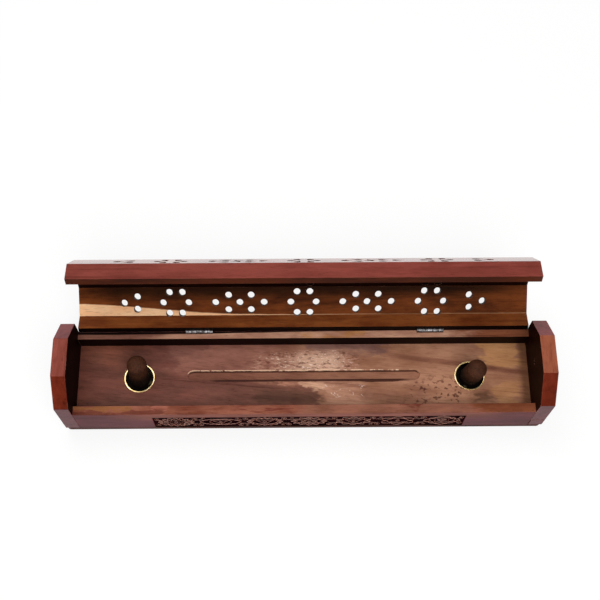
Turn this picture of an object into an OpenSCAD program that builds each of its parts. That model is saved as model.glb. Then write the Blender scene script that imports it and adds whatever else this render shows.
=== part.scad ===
/*
Incense burner box
A long wooden box with a hinged, pierced lid. Two brass cups in its tray
hold incense cones, a groove between them catches the ash of a stick, and
a swinging end door opens the storage compartment under the tray.
Millimetres. The length runs along X, the front faces -Y, and Z is up.
The origin is the centre of the underside. The lid stands open.
*/

/* [Body] */
// Length over the two end blocks
body_l = 305; // [296:1:320]
// Depth from front to back
body_w = 56; // [55:1:62]
// Height of the upright sides, lid closed
side_h = 43.5; // [42:0.5:48]
// Rise and run of the sloping upper sides
slope = 16; // [15.5:0.5:17.5]
// Thickness of the front and back walls
wall_t = 6; // [5.5:0.5:7]
// Thickness of the end blocks
end_t = 9; // [8:0.5:10]
// Thickness of the bottom board
bottom_t = 3.5; // [3:0.5:4]
// Radius of the bottom board's corners
corner_r = 3; // [1:0.5:4]

/* [Tray] */
// Height of the tray's upper face
tray_top = 19.2; // [19.2:0.2:21]
// Thickness of the tray board
tray_t = 5.3; // [5:0.1:5.6]
// Length of the ash groove
groove_l = 148; // [120:1:160]
// Width of the ash groove
groove_w = 6.5; // [4:0.5:8]
// Depth of the ash groove
groove_depth = 1; // [0.5:0.1:2]
// Distance of the groove behind the middle
groove_y = 1; // [-2:0.5:2]

/* [Lid] */
// Thickness of the lid's five boards
lid_t = 5.3; // [5:0.1:6]
// Height of the seam between box and lid
seam_z = 31.5; // [31.1:0.2:33.1]
// Gap in the seam
seam_gap = 0.6; // [0.4:0.1:0.8]
// Gap between the lid and each end block
lid_end_gap = 0.5; // [0.3:0.1:1]
// Angle at which the lid stands open
lid_open = 104; // [98:1:108]

/* [Piercing] */
// Diameter of the smoke holes
hole_d = 4.4; // [3.6:0.2:4.6]
// Distance from a flower's middle to its side holes
flower_side = 8.1; // [7.5:0.1:8.5]
// Half the spacing along X of a flower's upper and lower pairs
flower_pair_x = 4.1; // [3.8:0.1:4.4]
// Distance of those pairs above and below the middle
flower_pair_y = 6.7; // [6:0.1:7]
// Distance from a star's middle to its outermost holes
star_side = 15.5; // [14:0.5:16]
// Half the spacing along X of a star's upper and lower pairs
star_pair_x = 7.2; // [6.5:0.1:8]
// Distance of those pairs above and below the middle
star_pair_y = 4.7; // [4:0.1:5.5]
// Distance from the middle of the lid to the outer flowers
flower_x = 81.5; // [80:0.5:84]
// Distance from the middle of the lid to the stars
star_x = 40.7; // [40:0.1:42]
// Distance from the middle of the lid to the end pairs
end_pair_x = 106; // [104:0.5:108]
// Half the spacing of the holes in an end pair
end_pair_y = 4; // [3.5:0.1:5]
// Distance of each end hole beyond its pair
end_hole_x = 8.4; // [7:0.1:9]
// Distance of the pattern below the middle of a slope
pattern_drop = 0.9; // [0:0.1:1.2]
// Depth of a carved tail at its hole
tail_depth = 1.9; // [1:0.1:2]
// Distance from a hole's middle to the tip of its tail
tail_l = 5.2; // [4:0.1:5.6]

/* [Hinges] */
// Length of each hinge
hinge_l = 17; // [14:0.5:20]
// Place of the left hinge along X
hinge_left_x = -66.5; // [-90:0.5:-50]
// Place of the right hinge along X
hinge_right_x = 80.5; // [50:0.5:90]
// Diameter of the hinge barrel
barrel_d = 2.8; // [2.4:0.1:3]
// Diameter of the hinge pin
hinge_pin_d = 1.2; // [1:0.1:1.4]
// Thickness of the hinge leaves
leaf_t = 0.6; // [0.5:0.1:0.8]
// Height of the hinge leaves, from the hinge line
leaf_h = 6; // [5.5:0.5:8]
// Distance of the hinge line inside the back face
hinge_inset = 1.3; // [1.2:0.1:1.7]
// Length of the leaf screws
screw_l = 4; // [3:0.5:4.5]
// Shank diameter of the leaf screws
screw_d = 1; // [0.8:0.1:1.1]
// Head diameter of the leaf screws
screw_head_d = 1.8; // [1.6:0.1:1.8]
// Distance between a leaf's two screws
screw_gap = 10; // [9:0.5:10]
// Distance of the screws from the hinge line
screw_drop = 4; // [3.5:0.5:4.5]

/* [Cone cups] */
// Outside diameter of the brass cups
cup_d = 19.3; // [18:0.1:21]
// Thickness of the brass
cup_t = 0.8; // [0.5:0.1:1]
// Height of the cups
cup_h = 4; // [3:0.5:4.5]
// Height of the rim above the tray
cup_proud = 0.4; // [0.2:0.1:0.8]
// Place of the left cup along X
cup_left_x = -104.8; // [-110:0.1:-100]
// Place of the right cup along X
cup_right_x = 105.9; // [100:0.1:110]

/* [Incense cones] */
// Diameter at the foot
cone_d = 13; // [10:0.5:13.5]
// Diameter near the top
cone_tip_d = 12; // [4:0.5:12.5]
// Radius of the domed top
cone_dome_r = 7; // [6:0.5:10]
// Height
cone_h = 27; // [22:0.5:28]
// Lean of the left cone towards the back
left_lean_back = 4; // [-8:0.5:8]
// Lean of the left cone towards the right
left_lean_right = 2; // [-8:0.5:8]
// Lean of the right cone towards the back
right_lean_back = -7; // [-8:0.5:8]
// Lean of the right cone towards the right
right_lean_right = 3; // [-8:0.5:8]

/* [Stick hole] */
// Diameter of the hole in the right end block
stick_d = 3.6; // [2.5:0.1:4]
// Place of the hole along Y
stick_y = 2; // [-4:0.5:4]
// Height of the hole
stick_z = 39.5; // [34:0.5:42]

/* [Storage door] */
// Gap around the door
door_gap = 0.4; // [0.2:0.05:0.4]
// Distance of the pivot inside the end and back faces
pivot_inset = 4.5; // [4:0.1:4.8]
// Diameter of the pivot pin
pivot_d = 2; // [1.6:0.1:2.4]
// Radius of the door's outer back corner
door_corner_r = 2; // [1:0.5:3]

/* [Frieze] */
// Length of the sunk frieze on the front
frieze_l = 196; // [180:1:210]
// Height of the frieze
frieze_h = 20.8; // [18:0.2:22]
// Depth of the frieze
frieze_depth = 0.8; // [0.4:0.1:1.2]
// Distance of the frieze to the right of the middle
frieze_x = 3; // [-4:0.5:4]

/* [Display] */
// Piece to show

/* [Hidden] */

$fn = 48;
screw_fn = 24;
over = 1;
fixed_fit = 0.03;
running_fit = 0.05;
knuckle_gap = 0.2;
barrel_room = 0.2;
leaf_fit = 0.05;
screw_head_h = 0.6;
stop_gap = 0.15;
knuckles = 5;
tail_turn = 20;
mitre = tan(22.5);

stained = [0.43, 0.20, 0.16];
raw = [0.55, 0.38, 0.24];
pale = [0.62, 0.42, 0.34];
brass = [0.85, 0.68, 0.33];
steel = [0.70, 0.69, 0.69];
ash_brown = [0.20, 0.14, 0.11];

half_w = body_w / 2;
total_h = side_h + slope;
inner_l = body_l - 2 * end_t;
inner_w = body_w - 2 * wall_t;
lid_l = inner_l - 2 * lid_end_gap;
wall_top = seam_z - seam_gap / 2;
lid_low = seam_z + seam_gap / 2;
tray_low = tray_top - tray_t;
cup_low = tray_top + cup_proud - cup_h;
cone_low = cup_low + cup_t;
hinge_y = half_w - hinge_inset;
bevel_angle = lid_open / 2;
bevel_start = hinge_y + (seam_gap / 2 - stop_gap / cos(bevel_angle)) / tan(bevel_angle);
bevel_rise = hinge_inset * tan(bevel_angle) + stop_gap / cos(bevel_angle);
barrel_r = barrel_d / 2;
knuckle_l = (hinge_l - (knuckles - 1) * knuckle_gap) / knuckles;
knuckle_step = knuckle_l + knuckle_gap;
door_x0 = body_l / 2 - end_t + door_gap;
door_y1 = half_w - door_gap;
pivot_x = body_l / 2 - pivot_inset;
pivot_y = half_w - pivot_inset;
pivot_r = pivot_d / 2;
pivot_round_r = pivot_x - door_x0;
pin_head_r = pivot_r + 1;
pin_head_h = 0.8;
pin_sink = 0.4;
pin_top = tray_low + 6;

// Extrudes a profile drawn in Y and Z along X, centred
module along_x(length) {
    rotate([90, 0, 90])
        linear_extrude(height = length, center = true)
            children();
}

// A round bar along X, centred
module bar_x(r, length) {
    rotate([0, 90, 0])
        cylinder(r = r, h = length, center = true);
}

// Turns the lid's pieces open about the hinge line
module opened() {
    translate([0, hinge_y, seam_z])
        rotate([-lid_open, 0, 0])
            translate([0, -hinge_y, -seam_z])
                children();
}

// Both hinges' places
module at_hinges() {
    translate([hinge_left_x, 0, 0])
        children();
    translate([hinge_right_x, 0, 0])
        children();
}

// Flips a base piece about the seam's middle height to the lid side
module lid_side() {
    translate([0, 0, seam_z])
        mirror([0, 0, 1])
            translate([0, 0, -seam_z])
                children();
}

// One smoke hole with carved tails in the given directions
module smoke_hole(x, y, tails) {
    tilt = atan(tail_depth / tail_l);
    translate([x, y, 0]) {
        translate([0, 0, -lid_t - 2 * over])
            cylinder(d = hole_d, h = lid_t + 3 * over);
        for (turn = tails)
            rotate([0, 0, turn])
                translate([0, 0, -tail_depth])
                    rotate([0, -tilt, 0])
                        rotate([45, 0, 0])
                            cube([tail_l + over, tail_l, tail_l]);
    }
}

// Six holes whose tails meet in the middle
module flower(x) {
    smoke_hole(x + flower_side, 0, [180]);
    smoke_hole(x - flower_side, 0, [0]);
    for (up = [-1, 1])
        for (side = [-1, 1])
            smoke_hole(x + side * flower_pair_x, up * flower_pair_y, [-up * (90 + side * tail_turn)]);
}

// A four-pointed hole with six around it
module star(x) {
    smoke_hole(x, 0, [tail_turn, 90 + tail_turn, 180 + tail_turn, 270 + tail_turn]);
    smoke_hole(x - star_side, 0, [0]);
    smoke_hole(x + star_side, 0, [0]);
    for (side = [-1, 1]) {
        smoke_hole(x - star_pair_x, side * star_pair_y, [180]);
        smoke_hole(x + star_pair_x, side * star_pair_y, [0]);
    }
}

// Three holes near one end of the lid
module end_group(side) {
    out = side > 0 ? 0 : 180;
    for (up = [-1, 1])
        smoke_hole(side * end_pair_x, up * end_pair_y, [out]);
    smoke_hole(side * (end_pair_x + end_hole_x), 0, [180 - out]);
}

// The whole pierced pattern, cut down from the plane Z = 0
module piercing() {
    for (place = [-flower_x, 0, flower_x])
        flower(place);
    for (side = [-1, 1]) {
        star(side * star_x);
        end_group(side);
    }
}

// The pattern laid on the front slope
module front_piercing() {
    translate([0, -half_w + slope / 2, side_h + slope / 2])
        rotate([45, 0, 0])
            translate([0, -pattern_drop, 0])
                piercing();
}

// The eight-sided end profile above a given height
module end_profile(low) {
    polygon([
        [-half_w, low],
        [half_w, low],
        [half_w, side_h],
        [half_w - slope, total_h],
        [-half_w + slope, total_h],
        [-half_w, side_h]
    ]);
}

module bottom_board() {
    color(pale)
        difference() {
            union() {
                for (end = [-1, 1])
                    for (side = [-1, 1])
                        translate([
                            end * (body_l / 2 - corner_r),
                            side * (half_w - corner_r),
                            0
                        ])
                            cylinder(r = corner_r, h = bottom_t);
                translate([-body_l / 2 + corner_r, -half_w, 0])
                    cube([body_l - 2 * corner_r, body_w, bottom_t]);
                translate([-body_l / 2, -half_w + corner_r, 0])
                    cube([body_l, body_w - 2 * corner_r, bottom_t]);
            }
            translate([pivot_x, pivot_y, -over])
                cylinder(r = pivot_r + fixed_fit, h = bottom_t + 2 * over);
            translate([pivot_x, pivot_y, -over])
                cylinder(r = pin_head_r + fixed_fit, h = pin_sink + pin_head_h + over);
        }
}

module front_wall() {
    color(stained)
        difference() {
            translate([-inner_l / 2, -half_w, bottom_t])
                cube([inner_l, wall_t, wall_top - bottom_t]);
            translate([frieze_x - frieze_l / 2, -half_w - over, bottom_t - over])
                cube([frieze_l, frieze_depth + over, frieze_h + over]);
        }
}

// The back wall's section, with the edge bevelled where the lid stops
module back_wall_profile() {
    polygon([
        [half_w - wall_t, bottom_t],
        [half_w, bottom_t],
        [half_w, seam_z - bevel_rise],
        [bevel_start, wall_top],
        [half_w - wall_t, wall_top]
    ]);
}

// Slot for one leaf and room for the barrel in the edge of a board
module leaf_slot() {
    translate([-hinge_l / 2 - leaf_fit, hinge_y - leaf_t / 2 - leaf_fit, seam_z - leaf_h])
        cube([hinge_l + 2 * leaf_fit, leaf_t + 2 * leaf_fit, leaf_h]);
    translate([0, hinge_y, seam_z])
        bar_x(barrel_r + barrel_room, hinge_l + 2 * leaf_fit);
}

// One leaf's screws, driven in from the back face, or the holes for them
module leaf_screws(spare) {
    for (side = [-1, 1])
        translate([side * screw_gap / 2, half_w, seam_z - screw_drop])
            rotate([90, 0, 0]) {
                cylinder(
                    d1 = screw_head_d + 2 * spare,
                    d2 = screw_d + 2 * spare,
                    h = screw_head_h,
                    $fn = screw_fn
                );
                translate([0, 0, screw_head_h])
                    cylinder(d = screw_d + 2 * spare, h = screw_l - screw_head_h, $fn = screw_fn);
            }
}

module back_wall() {
    color(stained)
        difference() {
            along_x(inner_l)
                back_wall_profile();
            at_hinges()
                leaf_slot();
            at_hinges()
                leaf_screws(fixed_fit);
        }
}

module left_end_block() {
    color(stained)
        translate([-body_l / 2 + end_t / 2, 0, 0])
            along_x(end_t)
                end_profile(bottom_t);
}

module right_end_block() {
    color(stained)
        difference() {
            translate([body_l / 2 - end_t / 2, 0, 0])
                along_x(end_t)
                    end_profile(tray_low + door_gap);
            translate([body_l / 2 - end_t / 2, stick_y, stick_z])
                bar_x(stick_d / 2, end_t + 2 * over);
            translate([pivot_x, pivot_y, tray_low - over])
                cylinder(r = pivot_r + fixed_fit, h = pin_top - tray_low + over + fixed_fit);
        }
}

module tray_floor() {
    color(raw)
        difference() {
            translate([-inner_l / 2, -inner_w / 2, tray_low])
                cube([inner_l, inner_w, tray_t]);
            translate([0, groove_y, tray_top - groove_depth]) {
                for (end = [-1, 1])
                    translate([end * (groove_l - groove_w) / 2, 0, 0])
                        cylinder(d = groove_w, h = groove_depth + over);
                translate([-(groove_l - groove_w) / 2, -groove_w / 2, 0])
                    cube([groove_l - groove_w, groove_w, groove_depth + over]);
            }
            for (place = [cup_left_x, cup_right_x])
                translate([place, 0, cup_low])
                    cylinder(r = cup_d / 2 + fixed_fit, h = cup_h + over);
        }
}

module cone_cup(place) {
    color(brass)
        translate([place, 0, cup_low])
            difference() {
                cylinder(d = cup_d, h = cup_h);
                translate([0, 0, cup_t])
                    cylinder(d = cup_d - 2 * cup_t, h = cup_h);
            }
}

module left_cone_cup() {
    cone_cup(cup_left_x);
}

module right_cone_cup() {
    cone_cup(cup_right_x);
}

// A cone whose tilted foot touches the cup's floor at its lowest edge
module incense_cone(place, back, right) {
    lift = cone_d / 2 * (sin(abs(back)) + sin(abs(right)));
    color(ash_brown)
        translate([place, 0, cone_low + lift])
            rotate([-back, right, 0])
                intersection() {
                    cylinder(d1 = cone_d, d2 = cone_tip_d, h = cone_h);
                    union() {
                        translate([0, 0, cone_h - cone_dome_r])
                            sphere(r = cone_dome_r);
                        cylinder(r = cone_dome_r, h = cone_h - cone_dome_r);
                    }
                }
}

module left_incense_cone() {
    incense_cone(cup_left_x, left_lean_back, left_lean_right);
}

module right_incense_cone() {
    incense_cone(cup_right_x, right_lean_back, right_lean_right);
}

module lid_front_rail() {
    color(stained)
        opened()
            difference() {
                along_x(lid_l)
                    polygon([
                        [-half_w, lid_low],
                        [-half_w, side_h],
                        [-half_w + lid_t, side_h - lid_t * mitre],
                        [-half_w + lid_t, lid_low]
                    ]);
                front_piercing();
            }
}

// The sloping board at the front, seen with the lid closed
module slope_panel() {
    difference() {
        along_x(lid_l)
            polygon([
                [-half_w, side_h],
                [-half_w + slope, total_h],
                [-half_w + slope + lid_t * mitre, total_h - lid_t],
                [-half_w + lid_t, side_h - lid_t * mitre]
            ]);
        front_piercing();
    }
}

module lid_front_panel() {
    color(stained)
        opened()
            slope_panel();
}

module lid_top_panel() {
    flat = half_w - slope;
    color(stained)
        opened()
            difference() {
                along_x(lid_l)
                    polygon([
                        [-flat, total_h],
                        [flat, total_h],
                        [flat - lid_t * mitre, total_h - lid_t],
                        [-flat + lid_t * mitre, total_h - lid_t]
                    ]);
                translate([0, 0, total_h])
                    piercing();
            }
}

module lid_back_panel() {
    color(stained)
        opened()
            mirror([0, 1, 0])
                slope_panel();
}

module lid_back_rail() {
    color(stained)
        opened()
            difference() {
                along_x(lid_l)
                    polygon([
                        [half_w - lid_t, lid_low],
                        [half_w - lid_t, side_h - lid_t * mitre],
                        [half_w, side_h],
                        [half_w, seam_z + bevel_rise],
                        [bevel_start, lid_low]
                    ]);
                mirror([0, 1, 0])
                    front_piercing();
                lid_side()
                    at_hinges()
                        leaf_slot();
                lid_side()
                    at_hinges()
                        leaf_screws(fixed_fit);
            }
}

// A hinge leaf on the base side, standing in its slot, with knuckles at the given places
module leaf(own, other, pin_fit) {
    color(steel)
        difference() {
            union() {
                translate([-hinge_l / 2, hinge_y - leaf_t / 2, seam_z - leaf_h])
                    cube([hinge_l, leaf_t, leaf_h]);
                for (place = own)
                    translate([place * knuckle_step, hinge_y, seam_z])
                        bar_x(barrel_r, knuckle_l);
            }
            for (place = other)
                translate([place * knuckle_step, hinge_y, seam_z])
                    bar_x(barrel_r + barrel_room, knuckle_l + 2 * knuckle_gap);
            translate([0, hinge_y, seam_z])
                bar_x(hinge_pin_d / 2 + pin_fit, hinge_l + 2 * over);
            leaf_screws(fixed_fit);
        }
}

module base_leaf() {
    leaf([-2, 0, 2], [-1, 1], fixed_fit);
}

module lid_leaf() {
    opened()
        lid_side()
            leaf([-1, 1], [-2, 0, 2], running_fit);
}

module left_base_leaf() {
    translate([hinge_left_x, 0, 0])
        base_leaf();
}

module right_base_leaf() {
    translate([hinge_right_x, 0, 0])
        base_leaf();
}

module left_lid_leaf() {
    translate([hinge_left_x, 0, 0])
        lid_leaf();
}

module right_lid_leaf() {
    translate([hinge_right_x, 0, 0])
        lid_leaf();
}

module hinge_pin(place) {
    color(steel)
        translate([place, hinge_y, seam_z])
            bar_x(hinge_pin_d / 2, hinge_l);
}

module left_hinge_pin() {
    hinge_pin(hinge_left_x);
}

module right_hinge_pin() {
    hinge_pin(hinge_right_x);
}

module base_leaf_screws() {
    color(steel)
        at_hinges()
            leaf_screws(0);
}

module lid_leaf_screws() {
    color(steel)
        opened()
            lid_side()
                at_hinges()
                    leaf_screws(0);
}

// The door in plan: rounded where it turns past the back wall
module door_plan() {
    outer_x = body_l / 2;
    translate([door_x0, -half_w])
        square([outer_x - door_x0, half_w + pivot_y]);
    translate([pivot_x, pivot_y])
        circle(r = pivot_round_r);
    translate([pivot_x, pivot_y])
        square([outer_x - door_corner_r - pivot_x, door_y1 - pivot_y]);
    translate([pivot_x, pivot_y])
        square([outer_x - pivot_x, door_y1 - door_corner_r - pivot_y]);
    translate([outer_x - door_corner_r, door_y1 - door_corner_r])
        circle(r = door_corner_r);
}

module storage_door() {
    low = bottom_t + door_gap;
    color(stained)
        difference() {
            translate([0, 0, low])
                linear_extrude(height = tray_low - door_gap - low)
                    door_plan();
            translate([pivot_x, pivot_y, 0])
                cylinder(r = pivot_r + running_fit, h = tray_top);
        }
}

module door_pivot_pin() {
    color(brass)
        translate([pivot_x, pivot_y, pin_sink]) {
            cylinder(r = pin_head_r, h = pin_head_h);
            cylinder(r = pivot_r, h = pin_top - pin_sink);
        }
}

bottom_board();
front_wall();
back_wall();
left_end_block();
right_end_block();
tray_floor();
left_cone_cup();
right_cone_cup();
left_incense_cone();
right_incense_cone();
lid_front_rail();
lid_front_panel();
lid_top_panel();
lid_back_panel();
lid_back_rail();
left_base_leaf();
right_base_leaf();
left_lid_leaf();
right_lid_leaf();
left_hinge_pin();
right_hinge_pin();
base_leaf_screws();
lid_leaf_screws();
storage_door();
door_pivot_pin();
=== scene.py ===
"""Incense burner box: stained hardwood, pierced open lid, brass cone cups, carved frieze, end door."""
import math

import bmesh
import bpy
from mathutils import Matrix, Vector


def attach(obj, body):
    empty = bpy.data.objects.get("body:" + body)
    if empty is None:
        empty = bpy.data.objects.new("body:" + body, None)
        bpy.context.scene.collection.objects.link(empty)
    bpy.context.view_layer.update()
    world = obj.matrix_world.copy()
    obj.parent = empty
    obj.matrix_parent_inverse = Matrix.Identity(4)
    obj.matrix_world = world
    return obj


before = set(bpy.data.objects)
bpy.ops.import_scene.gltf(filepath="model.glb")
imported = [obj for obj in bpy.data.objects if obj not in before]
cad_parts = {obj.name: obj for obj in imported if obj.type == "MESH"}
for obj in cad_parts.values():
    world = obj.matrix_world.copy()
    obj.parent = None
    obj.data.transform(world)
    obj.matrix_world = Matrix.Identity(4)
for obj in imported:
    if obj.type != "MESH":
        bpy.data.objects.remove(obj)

MM = 0.001

# the objects of Blender's start-up file, where it has any
for spare in ("Cube", "Light", "Camera"):
    if spare in bpy.data.objects:
        bpy.data.objects.remove(bpy.data.objects[spare])
bpy.context.view_layer.update()

# ---------------------------------------------------------------- colours


def rgb(red, green, blue):
    """Display values from 0 to 255 as a linear shader colour."""
    def linear(value):
        value /= 255
        return value / 12.92 if value <= 0.04045 else ((value + 0.055) / 1.055) ** 2.4
    return (linear(red), linear(green), linear(blue), 1.0)


# ---------------------------------------------------------------- node helper

MIX_FACTOR, MIX_FIRST, MIX_SECOND, MIX_RESULT = 0, 6, 7, 2     # the Mix node's sockets for colours


class Shader:
    """A material under construction, with short calls for the nodes that it needs."""

    def __init__(self, name):
        self.material = bpy.data.materials.new(name)
        self.material.use_nodes = True
        self.tree = self.material.node_tree
        self.tree.nodes.clear()
        self.output = self.tree.nodes.new("ShaderNodeOutputMaterial")
        self.place = self.node("ShaderNodeTexCoord").outputs["Object"]
        self.grain = self.place

    def tilt_grain(self, angle):
        """Turn the noise textures about Z, so that the grain runs across the piece at an angle."""
        inputs = {"Vector": self.place, "Rotation": (0, 0, angle)}
        self.grain = self.node("ShaderNodeMapping", inputs).outputs[0]

    def node(self, kind, inputs=None, **settings):
        made = self.tree.nodes.new(kind)
        for key, value in settings.items():
            setattr(made, key, value)
        for key, value in (inputs or {}).items():
            self.put(made.inputs[key], value)
        return made

    def put(self, socket, value):
        """Link another node's output to the socket, or set a plain value on it."""
        if isinstance(value, bpy.types.NodeSocket):
            self.tree.links.new(value, socket)
        else:
            socket.default_value = value

    def maths(self, operation, *values, clamp=False):
        made = self.node("ShaderNodeMath", operation=operation, use_clamp=clamp)
        for index, value in enumerate(values):
            self.put(made.inputs[index], value)
        return made.outputs[0]

    def times(self, first, *others):
        for other in others:
            first = self.maths("MULTIPLY", first, other)
        return first

    def plus(self, first, second):
        return self.maths("ADD", first, second)

    def minus(self, first, second):
        return self.maths("SUBTRACT", first, second)

    def length(self, along, across):
        """Length of a vector from its two parts."""
        return self.maths("SQRT", self.plus(self.times(along, along), self.times(across, across)))

    def dot(self, first, second):
        made = self.node("ShaderNodeVectorMath", operation="DOT_PRODUCT")
        self.put(made.inputs[0], first)
        self.put(made.inputs[1], second)
        return made.outputs["Value"]

    def mix(self, factor, first, second, blend="MIX"):
        made = self.node("ShaderNodeMix", data_type="RGBA", blend_type=blend)
        self.put(made.inputs[MIX_FACTOR], factor)
        self.put(made.inputs[MIX_FIRST], first)
        self.put(made.inputs[MIX_SECOND], second)
        return made.outputs[MIX_RESULT]

    def span(self, value, low, high, to_low=0.0, to_high=1.0):
        """Smooth step from to_low at low to to_high at high; low may be the greater of the two."""
        inputs = {"Value": value, "From Min": low, "From Max": high, "To Min": to_low, "To Max": to_high}
        return self.node("ShaderNodeMapRange", inputs, interpolation_type="SMOOTHSTEP").outputs[0]

    def band(self, value, rise, fall):
        """Smooth step up over the rise and down again over the fall, each (start, end) in mm."""
        risen = self.span(value, rise[0] * MM, rise[1] * MM)
        return self.times(risen, self.span(value, fall[1] * MM, fall[0] * MM))

    def noise(self, scale, offset=(0, 0, 0), detail=3.0, roughness=0.5, distortion=0.0):
        """Noise between 0 and 1, with scale features per metre along each axis."""
        mapping = {"Vector": self.grain, "Scale": scale, "Location": offset}
        spot = self.node("ShaderNodeMapping", mapping).outputs[0]
        inputs = {"Vector": spot, "Scale": 1.0, "Detail": detail, "Roughness": roughness,
                  "Distortion": distortion}
        return self.node("ShaderNodeTexNoise", inputs).outputs[0]

    def facing(self, direction, low=0.80, high=0.93):
        """1 on the piece's faces that look along direction, in the piece's own axes."""
        own = self.node("ShaderNodeTexCoord").outputs["Normal"]
        return self.span(self.dot(own, direction), low, high)

    def axes(self):
        """The place on the piece as its x, y and z in metres."""
        split = self.node("ShaderNodeSeparateXYZ", {"Vector": self.place})
        return split.outputs[0], split.outputs[1], split.outputs[2]

    def worn_edges(self, radius, low=0.02, high=0.22):
        """1 along the piece's edges, 0 on its flats."""
        soft = self.node("ShaderNodeBevel", {"Radius": radius}, samples=4).outputs[0]
        flat = self.node("ShaderNodeNewGeometry").outputs["Normal"]
        return self.span(self.minus(1.0, self.dot(soft, flat)), low, high)

    def bump(self, height, strength, distance):
        inputs = {"Height": height, "Strength": strength, "Distance": distance}
        return self.node("ShaderNodeBump", inputs).outputs[0]

    def surface(self, **sockets):
        shader = self.node("ShaderNodeBsdfPrincipled")
        for key, value in sockets.items():
            self.put(shader.inputs[key.replace("_", " ")], value)
        self.tree.links.new(shader.outputs[0], self.output.inputs["Surface"])
        return self.material


# ---------------------------------------------------------------- directions

LID_ANGLE = math.radians(104)


def opened(y, z):
    """A direction of the closed lid, turned to where the open lid's pieces lie."""
    cos, sin = math.cos(LID_ANGLE), math.sin(LID_ANGLE)
    return (0.0, y * cos + z * sin, z * cos - y * sin)


UP, DOWN = (0.0, 0.0, 1.0), (0.0, 0.0, -1.0)
FRONT, BACK = (0.0, -1.0, 0.0), (0.0, 1.0, 0.0)
LEFT, RIGHT = (-1.0, 0.0, 0.0), (1.0, 0.0, 0.0)
HALF = math.sqrt(0.5)
FRONT_SLOPE, BACK_SLOPE = (0.0, -HALF, HALF), (0.0, HALF, HALF)

# where the lid's faces look now that it is open, named as on the closed box
LID_UP, LID_DOWN = opened(0, 1), opened(0, -1)
LID_FRONT, LID_BACK = opened(-1, 0), opened(1, 0)
LID_FRONT_SLOPE, LID_FRONT_SLOPE_INSIDE = opened(-HALF, HALF), opened(HALF, -HALF)
LID_BACK_SLOPE, LID_BACK_SLOPE_INSIDE = opened(HALF, HALF), opened(-HALF, -HALF)

# ---------------------------------------------------------------- wood

# features per metre along and across the grain
FIGURE = (5.0, 46.0)
STREAK = (10.0, 260.0)
FIBRE = (50.0, 1300.0)
PORE = (190.0, 3100.0)
BLOTCH = (26.0, 75.0)
RUBBED = (60.0, 180.0)

RINGS = 9.0                          # growth rings that the figure is cut into
RING_SHARE, FIBRE_SHARE, BLOTCH_SHARE = 0.17, 0.16, 0.65     # what each adds to the tone
STREAK_TINT, PORE_TINT = rgb(160, 128, 120), rgb(120, 95, 90)
VARNISH_TINT = (1.0, 0.74, 0.62, 1.0)
VARNISHED = (0.985, 0.998)           # how squarely a face looks along the direction to be varnished
EDGE_RADIUS = 0.8 * MM               # of the worn edges
LID_END = 143.0                      # where the lid's boards end along X, in mm


def wood(name, light, dark, seed, rough=0.46, shine=0.14, worn=None, wear=0.5, faces=(), polish=(),
         patches=None, along=0, tilt=0.0, ends=None, bare=None):
    """Stained hardwood. faces holds (direction, light, dark) for sides in a tone of their own, on several
    pieces the stain with painted light and shade for that side, polish (direction, weight) for varnished
    sides, bare the corners of a box without varnish, and ends the stain of its two ends; patches(shader,
    colour, tone) may paint more; worn is the colour of rubbed edges and wear how much it shows; along is the
    axis of the grain and tilt its angle."""
    s = Shader(name)
    if tilt:
        s.tilt_grain(tilt)
    offset = (seed * 3.7, seed * 1.9, seed * 5.3)

    def grained(size, **settings):
        scale = [size[1]] * 3
        scale[along] = size[0]
        return s.noise(tuple(scale), offset, **settings)

    figure = grained(FIGURE, detail=3, roughness=0.45, distortion=0.6)
    ring = s.times(s.maths("PINGPONG", s.times(figure, RINGS), 0.5), 2.0)
    fibre = grained(FIBRE, detail=4, roughness=0.65)
    pore = s.span(grained(PORE, detail=2), 0.58, 0.70)
    blotch = s.span(grained(BLOTCH, detail=5, roughness=0.62), 0.34, 0.66)
    tone = s.plus(s.times(ring, RING_SHARE), s.times(s.span(fibre, 0.3, 0.7), FIBRE_SHARE))
    tone = s.maths("ADD", tone, s.times(blotch, BLOTCH_SHARE), clamp=True)
    colour = s.mix(tone, dark, light)
    for direction, face_light, face_dark in faces:
        colour = s.mix(s.facing(direction), colour, s.mix(tone, face_dark, face_light))
    if ends:
        reach = s.maths("ABSOLUTE", s.axes()[0])
        at_end = s.span(reach, (LID_END - 0.5) * MM, (LID_END - 0.2) * MM)
        colour = s.mix(at_end, colour, s.mix(tone, ends[1], ends[0]))
    if patches:
        colour = patches(s, colour, tone)
    streak = s.span(grained(STREAK, detail=4, roughness=0.6), 0.54, 0.76, 0.0, 0.6)
    colour = s.mix(streak, colour, s.mix(1.0, colour, STREAK_TINT, "MULTIPLY"))
    colour = s.mix(s.times(pore, 0.4), colour, s.mix(1.0, colour, PORE_TINT, "MULTIPLY"))
    if worn:
        rubbed = s.span(grained(RUBBED, detail=3), 0.42, 0.68)
        colour = s.mix(s.times(s.worn_edges(EDGE_RADIUS), rubbed, wear), colour, worn)
    roughness = s.plus(rough, s.times(s.plus(fibre, pore), 0.12))
    height = s.minus(s.times(fibre, 0.6), s.times(pore, 0.5))
    varnish = 0.0
    for direction, weight in polish:
        varnish = s.maths("MAXIMUM", varnish, s.times(s.facing(direction, *VARNISHED), weight))
    if bare:
        varnish = s.times(varnish, s.minus(1.0, box_mask(s, *bare, 0.02)))
    return s.surface(Base_Color=colour, Roughness=roughness, Normal=s.bump(height, 0.3, 0.2 * MM),
                     Specular_IOR_Level=shine, Specular_Tint=VARNISH_TINT, Coat_Weight=varnish,
                     Coat_Roughness=0.15)
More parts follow.
